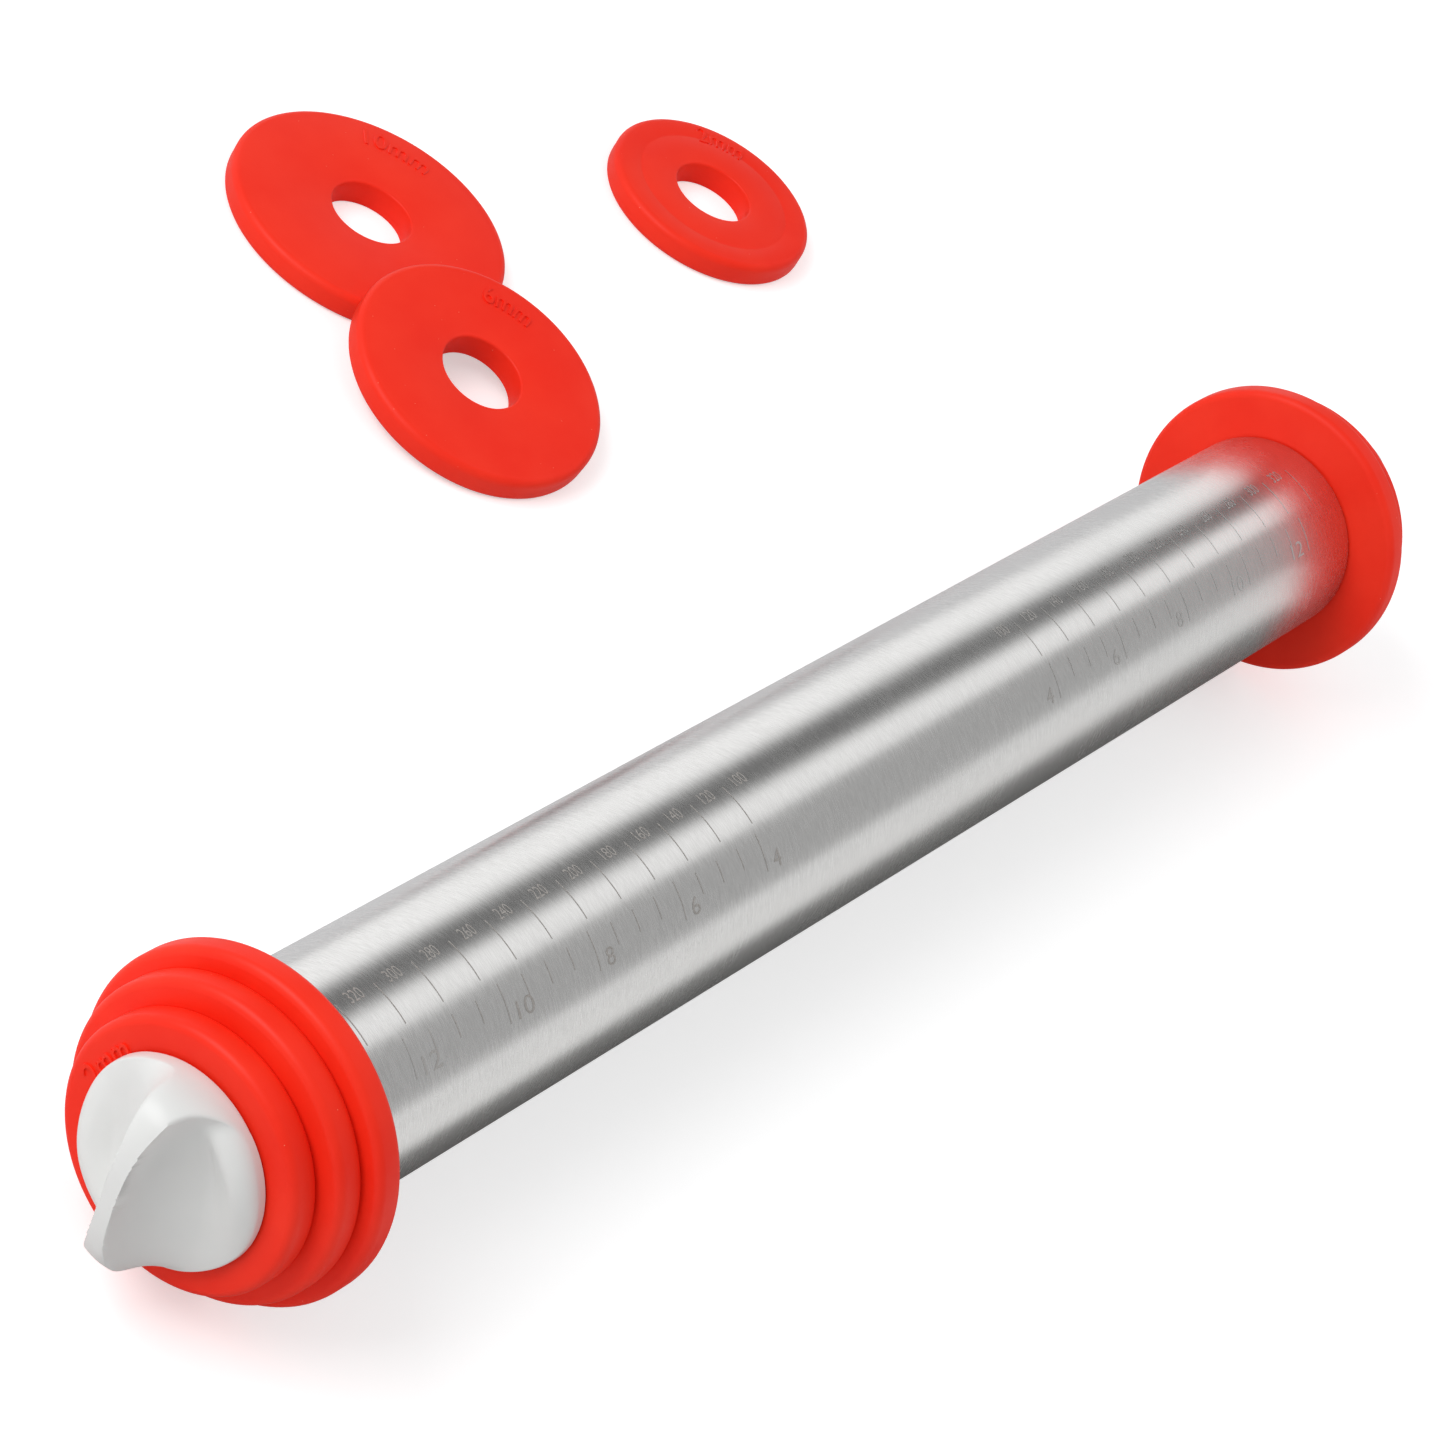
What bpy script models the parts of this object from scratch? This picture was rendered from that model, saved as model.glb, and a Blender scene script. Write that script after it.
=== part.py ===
"""Adjustable rolling pin: a steel barrel, a screwed knob at each end that clamps three thickness
rings, and one loose ring of each size.

Metres, +Z up. X runs along the barrel, which lies on its two widest rings. The origin is on the
surface below, at the middle of the box around the pin and the loose rings behind it.
"""
import math

import bmesh
import bpy
from mathutils import Matrix, Vector

# Clearances
FIT_GAP = 0.0003
RING_PLAY = 0.0006

# Barrel tube
BARREL_LENGTH = 0.339
BARREL_RADIUS = 0.0212
BARREL_WALL = 0.0010
BARREL_EDGE = 0.0004

# Thickness rings
RING_10MM_RADIUS = 0.0312
RING_6MM_RADIUS = 0.0282
RING_2MM_RADIUS = 0.0241
RING_THICKNESS = 0.0059
RING_HOLE_RADIUS = 0.0090
RING_EDGE = 0.0016

# Screw thread between a knob's screw and the plug in the barrel's end
THREAD_PITCH = 0.0045
THREAD_RADIUS = 0.0082
THREAD_DEPTH = 0.0013
THREAD_CREST = 0.0010
THREAD_ROOT = 0.0024
THREAD_PLAY = 0.00035
THREAD_TURNS = 4
THREAD_START = 0.0017
THREAD_SINK = 0.0003
BORE_PLAY = 0.0005

# Knob's screw
SCREW_BORE_RADIUS = 0.0046
SCREW_TIP = 0.0016
SCREW_END_WALL = 0.0020
FLANGE_RADIUS = 0.0130
FLANGE_THICKNESS = 0.0011
KEY_RADIUS = 0.0040
KEY_HEIGHT = 0.0022

# Plug pressed into each end of the barrel
PLUG_LENGTH = 0.0225
PLUG_FRONT_WALL = 0.0030
PLUG_SKIRT_WALL = 0.0020
PLUG_SKIRT_LENGTH = 0.0180
PLUG_BOSS_WALL = 0.0024
PLUG_EDGE = 0.0005
PLUG_RIB_WIDTH = 0.0016
PLUG_RIB_LENGTH = 0.0140
PLUG_RIB_SINK = 0.0006
PLUG_RIBS = 6

# Knob: a dome with a finger scoop on each side of its fin, cut down to a round plate
KNOB_RADIUS = 0.0183
KNOB_HEIGHT = 0.0160
KNOB_EDGE = 0.0005
PLATE_THICKNESS = 0.0025
FIN_THICKNESS = 0.0030
SCOOP_REACH = 0.0174
SCOOP_DEPTH = 0.0149
SCOOP_HALF_LENGTH = 0.0484
SCOOP_RISE = 0.0005
SCOOP_SHIFT = 0.0025
SCOOP_CURL = 0.0013
SCOOP_PINCH = 0.0005
FIN_TURN = math.radians(9.4)

# How far each curve swells towards its corner (0.71 for an ellipse), and the fall of a scoop's floor
DOME_CORNER_SHARE = 0.75
SCOOP_CORNER_SHARE = 0.728
SCOOP_FALL_SHARE = 0.13

# Loose rings behind the pin: the 6 mm one leans on the edge of the 10 mm one
SPARE_CLEARANCE = 0.0614
SPARE_PLACE = 0.0443
SPARE_OVERLAP = 0.0104
SPARE_HEADING = math.radians(70)
SPARE_2MM_CLEARANCE = 0.0428
SPARE_2MM_HEADING = math.radians(-15)

# Facets
BARREL_SIDES = 48
RING_SIDES = 36
KNOB_SIDES = 40
PLUG_SIDES = 32
SCREW_SIDES = 16
SCOOP_SIDES = 40
KEY_SIDES = 6
ARC_STEPS = 3
DOME_STEPS = 10
LEAN_STEPS = 12
MERGE_DISTANCE = 1e-7
SHARP_ANGLE = math.radians(35)

RING_RADII = {"10mm": RING_10MM_RADIUS, "6mm": RING_6MM_RADIUS, "2mm": RING_2MM_RADIUS}
RING_PITCH = RING_THICKNESS + FIT_GAP
STACK_LENGTH = len(RING_RADII) * RING_PITCH + FIT_GAP
RING_FLAT = math.cos(math.pi / RING_SIDES)
AXIS_HEIGHT = max(RING_RADII.values()) * RING_FLAT
SHANK_RADIUS = RING_HOLE_RADIUS - RING_PLAY
THREAD_CORE = THREAD_RADIUS - THREAD_DEPTH
PLUG_RADIUS = BARREL_RADIUS - BARREL_WALL - FIT_GAP

# Colour, roughness and metallic value of each material
FINISHES = {
    "brushed_steel": ((0.72, 0.71, 0.69), 0.32, 1.0),
    "red_silicone": ((0.93, 0.045, 0.028), 0.55, 0.0),
    "white_plastic": ((0.80, 0.80, 0.78), 0.38, 0.0),
    "grey_plastic": ((0.42, 0.42, 0.41), 0.50, 0.0),
}


def clear_scene():
    """Remove every object that is in the scene."""
    for thing in list(bpy.data.objects):
        bpy.data.objects.remove(thing, do_unlink=True)


def material(name):
    """Return the named Principled material."""
    made = bpy.data.materials.get(name)
    if made:
        return made
    colour, roughness, metallic = FINISHES[name]
    made = bpy.data.materials.new(name)
    made.use_nodes = True
    shader = made.node_tree.nodes["Principled BSDF"]
    shader.inputs["Base Color"].default_value = (*colour, 1.0)
    shader.inputs["Roughness"].default_value = roughness
    shader.inputs["Metallic"].default_value = metallic
    made.diffuse_color = (*colour, 1.0)
    return made


def rounded_outline(corners, closed):
    """Return an outline's points (along, radius), with an arc at each corner that has a rounding.

    Each corner is (along, radius, rounding). An open outline keeps its two end points.
    """
    points = []
    count = len(corners)
    for index, (along, radius, rounding) in enumerate(corners):
        here = Vector((along, radius))
        at_end = not closed and index in (0, count - 1)
        if at_end or not rounding:
            points.append(here)
            continue
        before = Vector(corners[index - 1][:2])
        after = Vector(corners[(index + 1) % count][:2])
        back = (before - here).normalized()
        ahead = (after - here).normalized()
        half = back.angle(ahead) / 2
        reach = rounding / math.tan(half)
        centre = here + (back + ahead).normalized() * rounding / math.sin(half)
        start = here + back * reach - centre
        end = here + ahead * reach - centre
        sweep = start.angle_signed(end)
        for step in range(ARC_STEPS + 1):
            arm = start.copy()
            arm.rotate(Matrix.Rotation(-sweep * step / ARC_STEPS, 2))
            points.append(centre + arm)
    return points


def outward(shape):
    """Merge the seam and the poles of a shape and turn its faces outward."""
    bmesh.ops.remove_doubles(shape, verts=shape.verts[:], dist=MERGE_DISTANCE)
    bmesh.ops.dissolve_degenerate(shape, edges=shape.edges[:], dist=MERGE_DISTANCE)
    bmesh.ops.recalc_face_normals(shape, faces=shape.faces[:])
    return shape


def turned(outline, closed, sides):
    """Return the solid that an outline (along, radius) makes when it is turned about X."""
    shape = bmesh.new()
    lead = math.pi / sides
    verts = [shape.verts.new((x, -r * math.sin(lead), r * math.cos(lead))) for x, r in outline]
    pairs = list(zip(verts, verts[1:]))
    if closed:
        pairs.append((verts[-1], verts[0]))
    edges = [shape.edges.new(pair) for pair in pairs]
    bmesh.ops.spin(shape, geom=verts + edges, cent=(0, 0, 0), axis=(1, 0, 0), angle=math.tau,
                   steps=sides, use_merge=True)
    return outward(shape)


def thread_ridge(start, turns, crest_radius, root_radius, crest_width, root_width):
    """Return a right-hand ridge that winds about +X, its middle starting at the given place."""
    shape = bmesh.new()
    section = [(-root_width / 2, root_radius), (-crest_width / 2, crest_radius),
               (crest_width / 2, crest_radius), (root_width / 2, root_radius)]
    verts = [shape.verts.new((start + x, 0, r)) for x, r in section]
    edges = [shape.edges.new(pair) for pair in zip(verts, verts[1:] + verts[:1])]
    steps = round(turns * SCREW_SIDES)
    advance = THREAD_PITCH * turns / steps
    bmesh.ops.spin(shape, geom=verts + edges, cent=(0, 0, 0), axis=(1, 0, 0), angle=math.tau * turns,
                   steps=steps, dvec=(advance, 0, 0))
    ends = [edge for edge in shape.edges if len(edge.link_faces) < 2]
    bmesh.ops.holes_fill(shape, edges=ends, sides=len(section))
    return outward(shape)


def prism(radius, sides, low, high):
    """Return a closed prism about X between two places."""
    shape = bmesh.new()
    place = Matrix.Translation(((low + high) / 2, 0, 0)) @ Matrix.Rotation(math.pi / 2, 4, "Y")
    bmesh.ops.create_cone(shape, cap_ends=True, segments=sides, radius1=radius, radius2=radius,
                          depth=high - low, matrix=place)
    return shape


def new_object(name, shape, finish, parent):
    """Make a mesh object with its material under a parent empty."""
    mesh = bpy.data.meshes.new(name)
    shape.to_mesh(mesh)
    shape.free()
    mesh.shade_smooth()
    mesh.set_sharp_from_angle(angle=SHARP_ANGLE)
    mesh.materials.append(material(finish))
    return place_mesh(name, mesh, parent)


def place_mesh(name, mesh, parent):
    """Put a mesh in the scene as an object under a parent empty."""
    thing = bpy.data.objects.new(name, mesh)
    bpy.context.collection.objects.link(thing)
    thing.parent = parent
    return thing


def combine(target, shape, operation, name):
    """Join a shape to an object, or cut it away, with a hidden helper object."""
    helper = new_object(name, shape, target.data.materials[0].name, target.parent)
    helper.hide_render = True
    helper.display_type = "WIRE"
    helper.location = target.location
    helper.rotation_euler = target.rotation_euler
    step = target.modifiers.new(name, "BOOLEAN")
    step.operation = operation
    step.solver = "EXACT"
    step.object = helper


def new_empty(name, location, turn):
    """Make an empty at a place, turned about Z."""
    empty = bpy.data.objects.new(name, None)
    bpy.context.collection.objects.link(empty)
    empty.location = location
    empty.rotation_euler = (0, 0, turn)
    return empty


def ring_mesh(size):
    """Return the mesh of a thickness ring about X, centred on its own middle."""
    half = RING_THICKNESS / 2
    radius = RING_RADII[size]
    outline = rounded_outline([(-half, RING_HOLE_RADIUS, 0), (-half, radius, RING_EDGE),
                               (half, radius, RING_EDGE), (half, RING_HOLE_RADIUS, 0)], closed=True)
    shape = turned(outline, True, RING_SIDES)
    mesh = bpy.data.meshes.new(f"ring_{size}")
    shape.to_mesh(mesh)
    shape.free()
    mesh.shade_smooth()
    mesh.set_sharp_from_angle(angle=SHARP_ANGLE)
    mesh.materials.append(material("red_silicone"))
    return mesh


def make_barrel(parent):
    """Model the steel tube."""
    half = BARREL_LENGTH / 2
    inside = BARREL_RADIUS - BARREL_WALL
    outline = rounded_outline([(-half, inside, 0), (-half, BARREL_RADIUS, BARREL_EDGE),
                               (half, BARREL_RADIUS, BARREL_EDGE), (half, inside, 0)], closed=True)
    new_object("barrel_tube", turned(outline, True, BARREL_SIDES), "brushed_steel", parent)


def make_plug(side, end):
    """Model a ribbed plug with a threaded bore, just inside the barrel's end."""
    front = -FIT_GAP
    wall = front - PLUG_FRONT_WALL
    bore = THREAD_CORE + BORE_PLAY
    boss = THREAD_RADIUS + THREAD_PLAY + PLUG_BOSS_WALL
    skirt = PLUG_RADIUS - PLUG_SKIRT_WALL
    corners = [(front, bore, 0), (front, PLUG_RADIUS, PLUG_EDGE),
               (front - PLUG_SKIRT_LENGTH, PLUG_RADIUS, PLUG_EDGE),
               (front - PLUG_SKIRT_LENGTH, skirt, 0), (wall, skirt, 0), (wall, boss, 0),
               (front - PLUG_LENGTH, boss, 0), (front - PLUG_LENGTH, bore, 0)]
    shape = turned(rounded_outline(corners, closed=True), True, PLUG_SIDES)
    plug = new_object(f"end_plug_{side}", shape, "grey_plastic", end)
    ribs = bmesh.new()
    low = boss - PLUG_RIB_SINK
    high = skirt + PLUG_RIB_SINK
    length = PLUG_RIB_LENGTH + PLUG_RIB_SINK
    middle = wall + PLUG_RIB_SINK - length / 2
    for index in range(PLUG_RIBS):
        place = Matrix.Rotation(math.tau * index / PLUG_RIBS, 4, "X")
        place = place @ Matrix.Translation((middle, 0, (low + high) / 2))
        size = Matrix.Diagonal((length, PLUG_RIB_WIDTH, high - low, 1))
        bmesh.ops.create_cube(ribs, size=1, matrix=place @ size)
    combine(plug, ribs, "UNION", f"plug_ribs_{side}")
    turns = THREAD_TURNS + 3
    start = -THREAD_START - THREAD_PITCH * (THREAD_TURNS + 2)
    groove = thread_ridge(start, turns, THREAD_RADIUS + THREAD_PLAY, THREAD_CORE - THREAD_SINK,
                          THREAD_CREST + 2 * THREAD_PLAY, THREAD_ROOT + 2 * THREAD_PLAY)
    combine(plug, groove, "DIFFERENCE", f"plug_thread_{side}")


def make_screw(side, end):
    """Model the hollow screw that carries the rings and turns with the knob."""
    tip = -THREAD_START - THREAD_PITCH * THREAD_TURNS - SCREW_TIP
    flange = STACK_LENGTH + FLANGE_THICKNESS
    corners = [(STACK_LENGTH - SCREW_END_WALL, 0, 0), (STACK_LENGTH - SCREW_END_WALL, SCREW_BORE_RADIUS, 0),
               (tip, SCREW_BORE_RADIUS, 0), (tip, THREAD_CORE, 0), (0, THREAD_CORE, 0),
               (0, SHANK_RADIUS, 0), (STACK_LENGTH, SHANK_RADIUS, 0), (STACK_LENGTH, FLANGE_RADIUS, 0),
               (flange, FLANGE_RADIUS, 0), (flange, 0, 0)]
    shape = turned(rounded_outline(corners, closed=False), False, SCREW_SIDES)
    screw = new_object(f"knob_screw_{side}", shape, "white_plastic", end)
    start = -THREAD_START - THREAD_PITCH * THREAD_TURNS
    ridge = thread_ridge(start, THREAD_TURNS, THREAD_RADIUS, THREAD_CORE - THREAD_SINK,
                         THREAD_CREST, THREAD_ROOT)
    combine(screw, ridge, "UNION", f"screw_thread_{side}")
    key = prism(KEY_RADIUS, KEY_SIDES, flange - FLANGE_THICKNESS / 2, flange + KEY_HEIGHT)
    combine(screw, key, "UNION", f"screw_key_{side}")


def swollen(part, corner_share):
    """Return a unit circle's sine or cosine for a curve that swells further to its corner."""
    power = 2 * math.log(corner_share) / math.log(0.5)
    return math.copysign(abs(part) ** power, part)


def finger_scoop(turn):
    """Return the cutter of one finger scoop, flat at the plate and turned about X.

    It is a long hollow beside the fin. One of its ends curls towards the fin and the other away.
    """
    shape = bmesh.new()
    bmesh.ops.create_uvsphere(shape, u_segments=SCOOP_SIDES, v_segments=SCOOP_SIDES, radius=1)
    middle = FIN_THICKNESS / 2 + SCOOP_REACH
    for vert in shape.verts:
        height, across, along = (swollen(part, SCOOP_CORNER_SHARE) for part in vert.co)
        along *= SCOOP_HALF_LENGTH
        curl = SCOOP_PINCH if along > 0 else -SCOOP_CURL
        vert.co.x = KNOB_HEIGHT + SCOOP_RISE + height * SCOOP_DEPTH - along * SCOOP_FALL_SHARE
        vert.co.y = middle + across * SCOOP_REACH + curl * (along / KNOB_RADIUS) ** 2
        vert.co.z = along - SCOOP_SHIFT
    bmesh.ops.bisect_plane(shape, geom=shape.verts[:] + shape.edges[:] + shape.faces[:],
                           dist=MERGE_DISTANCE, plane_co=(PLATE_THICKNESS, 0, 0), plane_no=(1, 0, 0),
                           clear_inner=True)
    bmesh.ops.edgeloop_fill(shape, edges=[edge for edge in shape.edges if edge.is_boundary])
    bmesh.ops.rotate(shape, verts=shape.verts[:], cent=(0, 0, 0), matrix=Matrix.Rotation(turn, 3, "X"))
    return outward(shape)


def make_knob(side, end):
    """Model the knob: a dome with a finger scoop on each side of its fin."""
    recess = FLANGE_THICKNESS + FIT_GAP
    corners = [(recess, 0, 0), (recess, FLANGE_RADIUS + FIT_GAP, 0), (0, FLANGE_RADIUS + FIT_GAP, 0),
               (0, KNOB_RADIUS, KNOB_EDGE)]
    for step in range(1, DOME_STEPS + 1):
        angle = math.pi / 2 * step / DOME_STEPS
        height = KNOB_HEIGHT * swollen(math.sin(angle), DOME_CORNER_SHARE)
        radius = KNOB_RADIUS * swollen(math.cos(angle), DOME_CORNER_SHARE) if step < DOME_STEPS else 0
        corners.append((height, radius, 0))
    shape = turned(rounded_outline(corners, closed=False), False, KNOB_SIDES)
    knob = new_object(f"knob_{side}", shape, "white_plastic", end)
    knob.location = (STACK_LENGTH, 0, 0)
    knob.rotation_euler = (FIN_TURN, 0, 0)
    socket = prism(KEY_RADIUS + FIT_GAP / math.cos(math.pi / KEY_SIDES), KEY_SIDES,
                   recess / 2, FLANGE_THICKNESS + KEY_HEIGHT + FIT_GAP)
    bmesh.ops.rotate(socket, verts=socket.verts[:], cent=(0, 0, 0),
                     matrix=Matrix.Rotation(-FIN_TURN, 3, "X"))
    combine(knob, socket, "DIFFERENCE", f"knob_socket_{side}")
    for index in range(2):
        combine(knob, finger_scoop(math.pi * index), "DIFFERENCE", f"knob_scoop_{side}_{index + 1}")


def make_end(side, turn, centre, rings):
    """Model everything at one end of the barrel, about an empty on the axis at its end face."""
    reach = Matrix.Rotation(turn, 3, "Z") @ Vector((BARREL_LENGTH / 2, 0, 0))
    end = new_empty(f"{side}_end", centre + reach, turn)
    make_plug(side, end)
    make_screw(side, end)
    make_knob(side, end)
    for index, (size, mesh) in enumerate(rings.items()):
        ring = place_mesh(f"ring_{size}_{side}", mesh, end)
        ring.location = (FIT_GAP + index * RING_PITCH + RING_THICKNESS / 2, 0, 0)


def lean_angle(near, far, distance):
    """Return the tilt of a ring that rests on the surface and on the edge of another ring.

    near and far are the two rings' radii across their flats, distance the one between centres.
    """
    tilt = 0.0
    for _ in range(LEAN_STEPS):
        reach = (near - RING_EDGE) * math.cos(tilt) + distance - (far - RING_EDGE)
        rise = 2 * RING_EDGE + FIT_GAP + math.cos(tilt) * (RING_THICKNESS - 2 * RING_EDGE)
        tilt = math.asin(rise / reach)
    return tilt


def make_spares(pin, spots, rings):
    """Lay one loose ring of each size behind the pin."""
    upright = Matrix.Rotation(-math.pi / 2, 4, "Y")
    heading = Matrix.Rotation(SPARE_HEADING, 4, "Z")
    for size in ("10mm", "2mm"):
        spare = place_mesh(f"spare_ring_{size}", rings[size], None)
        x, y = spots[size]
        spare.matrix_world = Matrix.Translation((x, pin.y + y, RING_THICKNESS / 2)) @ heading @ upright
    near = RING_6MM_RADIUS * RING_FLAT
    far = RING_10MM_RADIUS * RING_FLAT
    distance = (Vector(spots["10mm"]) - Vector(spots["6mm"])).length
    tilt = lean_angle(near, far, distance)
    above = RING_THICKNESS / 2 - RING_EDGE
    shift = heading @ Vector((-math.sin(tilt) * above, 0, 0))
    height = RING_EDGE + (near - RING_EDGE) * math.sin(tilt) + math.cos(tilt) * above
    x, y = spots["6mm"]
    spare = place_mesh("spare_ring_6mm", rings["6mm"], None)
    place = Matrix.Translation((x + shift.x, pin.y + y + shift.y, height))
    spare.matrix_world = place @ heading @ Matrix.Rotation(-tilt, 4, "Y") @ upright


def spare_spots():
    """Return where each loose ring lies, measured from below the middle of the barrel."""
    leaning = Vector((SPARE_PLACE, RING_10MM_RADIUS + SPARE_CLEARANCE + RING_6MM_RADIUS))
    ahead = Vector((math.cos(SPARE_HEADING), math.sin(SPARE_HEADING)))
    under = leaning + ahead * (RING_10MM_RADIUS + RING_6MM_RADIUS - SPARE_OVERLAP)
    aside = Vector((math.cos(SPARE_2MM_HEADING), math.sin(SPARE_2MM_HEADING)))
    alone = under + aside * (RING_10MM_RADIUS + SPARE_2MM_CLEARANCE + RING_2MM_RADIUS)
    return {"10mm": under, "6mm": leaning, "2mm": alone}


def main():
    """Model the whole set."""
    clear_scene()
    rings = {size: ring_mesh(size) for size in RING_RADII}
    spots = spare_spots()
    centre = Vector((0, -spots["10mm"].y / 2, AXIS_HEIGHT))
    pin = new_empty("pin", centre, 0)
    make_barrel(pin)
    make_end("right", 0, centre, rings)
    make_end("left", math.pi, centre, rings)
    make_spares(centre, spots, rings)


main()
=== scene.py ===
"""Looks of an adjustable rolling pin: a brushed steel barrel with an engraved rule, red silicone
thickness rings, off-white knobs on screws, and one loose ring of each size behind the pin.

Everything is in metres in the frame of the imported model. X runs along the barrel. Each mesh is
made about its own axis and then moved to its place, so that every object sits at the origin.
"""
import logging
import math
from dataclasses import dataclass
from enum import Enum
from typing import ClassVar

import bmesh
import bpy
from mathutils import Matrix, Vector


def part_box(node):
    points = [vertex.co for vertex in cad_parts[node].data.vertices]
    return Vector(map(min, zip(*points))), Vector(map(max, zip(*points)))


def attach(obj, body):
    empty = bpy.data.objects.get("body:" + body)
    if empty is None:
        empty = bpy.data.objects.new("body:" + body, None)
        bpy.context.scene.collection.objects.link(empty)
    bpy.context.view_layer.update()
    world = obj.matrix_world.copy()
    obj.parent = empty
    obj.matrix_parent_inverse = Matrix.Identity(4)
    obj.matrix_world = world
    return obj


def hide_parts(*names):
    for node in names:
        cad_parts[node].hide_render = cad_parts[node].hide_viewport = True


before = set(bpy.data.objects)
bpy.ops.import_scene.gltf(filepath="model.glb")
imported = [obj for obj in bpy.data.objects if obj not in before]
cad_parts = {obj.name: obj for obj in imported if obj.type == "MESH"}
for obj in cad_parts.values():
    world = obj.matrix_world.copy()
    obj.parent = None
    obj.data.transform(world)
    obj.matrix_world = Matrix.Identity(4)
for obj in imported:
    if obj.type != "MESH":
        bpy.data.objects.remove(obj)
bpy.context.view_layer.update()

LOG = logging.getLogger("rolling_pin")
MM = 0.001
MERGE_DISTANCE = 1e-7
LETTER_FACETS = 4
WHITE = (1.0, 1.0, 1.0)
Point = tuple[float, float]
Span = tuple[float, float]
Triple = tuple[float, float, float]
Colour = tuple[float, float, float]
Shape = bmesh.types.BMesh
Socket = bpy.types.NodeSocket
Tree = bpy.types.NodeTree
Object = bpy.types.Object
Material = bpy.types.Material


class End(Enum):
    """The two ends of the pin. The value turns an end's own outward axis from +X."""

    RIGHT = 0.0
    LEFT = math.pi

    @property
    def word(self) -> str:
        """Return the end's name as the nodes spell it."""
        return self.name.lower()

    @property
    def sign(self) -> int:
        """Return +1 for the end on +X and -1 for the other."""
        return 1 if self is End.RIGHT else -1


class Gauge(Enum):
    """The three ring sizes, named by the rolled thickness that they set."""

    TEN = "10mm"
    SIX = "6mm"
    TWO = "2mm"


# Meshes


def turned(outline: list[Point], sides: int, closed: bool) -> Shape:
    """Turn an outline about X into a solid.

    Args:
        outline: points as (along, radius).
        sides: facets round the axis.
        closed: whether the last point joins the first.

    Returns:
        The solid, with its seam and poles merged and its faces pointing outward.
    """
    shape = bmesh.new()
    verts = [shape.verts.new((along, 0.0, radius)) for along, radius in outline]
    pairs = list(zip(verts, verts[1:]))
    if closed:
        pairs.append((verts[-1], verts[0]))
    edges = [shape.edges.new(pair) for pair in pairs]
    bmesh.ops.spin(shape, geom=verts + edges, cent=(0, 0, 0), axis=(1, 0, 0), angle=math.tau,
                   steps=sides, use_merge=True)
    bmesh.ops.remove_doubles(shape, verts=shape.verts[:], dist=MERGE_DISTANCE)
    bmesh.ops.dissolve_degenerate(shape, edges=shape.edges[:], dist=MERGE_DISTANCE)
    bmesh.ops.recalc_face_normals(shape, faces=shape.faces[:])
    return shape


def round_circle(shape: Shape, along: float, radius: float, rounding: float, segments: int) -> None:
    """Round the circular edge of a turned solid.

    Args:
        shape: the solid, about X.
        along: the circle's place on the axis.
        radius: the circle's radius.
        rounding: the radius of the rounding.
        segments: its facets.
    """
    reach = 20 * MERGE_DISTANCE
    on_circle = {vert for vert in shape.verts
                 if abs(vert.co.x - along) < reach and abs(vert.co.yz.length - radius) < reach}
    edges = [edge for edge in shape.edges if set(edge.verts) <= on_circle]
    bmesh.ops.bevel(shape, geom=edges, offset=rounding, offset_type="OFFSET", affect="EDGES",
                    segments=segments, profile=0.5, material=-1)


def finished(name: str, shape: Shape, place: Matrix, finish: Material, sharp: float = 40.0) -> Object:
    """Make an object at the origin, with its place in its mesh.

    Args:
        name: the object's name.
        shape: its shape, which is freed.
        place: where the shape goes.
        finish: its material.
        sharp: degrees between two faces above which their edge stays sharp.

    Returns:
        The new object.
    """
    bmesh.ops.transform(shape, matrix=place, verts=shape.verts[:])
    mesh = bpy.data.meshes.new(name)
    shape.to_mesh(mesh)
    shape.free()
    mesh.shade_smooth()
    mesh.set_sharp_from_angle(angle=math.radians(sharp))
    mesh.materials.append(finish)
    thing = bpy.data.objects.new(name, mesh)
    bpy.context.scene.collection.objects.link(thing)
    return thing


def lettering(text: str, width: float, height: float, relief: float) -> Shape:
    """Return a line of figures or letters as a flat mesh, centred on the origin.

    Args:
        text: what it says.
        width: the line's width.
        height: the height of its tallest sign.
        relief: how far it stands out, or zero for a flat sheet.

    Returns:
        The mesh, reading along +X with +Y up.
    """
    curve = bpy.data.curves.new("lettering", "FONT")
    curve.body = text
    curve.resolution_u = LETTER_FACETS
    curve.extrude = 0.5 if relief else 0.0
    thing = bpy.data.objects.new("lettering", curve)
    bpy.context.scene.collection.objects.link(thing)
    bpy.context.view_layer.update()
    mesh = bpy.data.meshes.new_from_object(thing.evaluated_get(bpy.context.evaluated_depsgraph_get()))
    bpy.data.objects.remove(thing)
    shape = bmesh.new()
    shape.from_mesh(mesh)
    bpy.data.meshes.remove(mesh)
    low = [min(vert.co[axis] for vert in shape.verts) for axis in range(3)]
    high = [max(vert.co[axis] for vert in shape.verts) for axis in range(3)]
    middle = Vector(((low[0] + high[0]) / 2, (low[1] + high[1]) / 2, low[2]))
    bmesh.ops.translate(shape, vec=-middle, verts=shape.verts[:])
    size = Vector((width / (high[0] - low[0]), height / (high[1] - low[1]), relief or 1.0))
    bmesh.ops.scale(shape, vec=size, verts=shape.verts[:])
    return shape


def join(target: Shape, part: Shape) -> None:
    """Add a part's faces to a shape.

    Args:
        target: the shape that grows.
        part: the part, which is freed.
    """
    mesh = bpy.data.meshes.new("part")
    part.to_mesh(mesh)
    part.free()
    target.from_mesh(mesh)
    bpy.data.meshes.remove(mesh)


# Node groups and finishes


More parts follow.
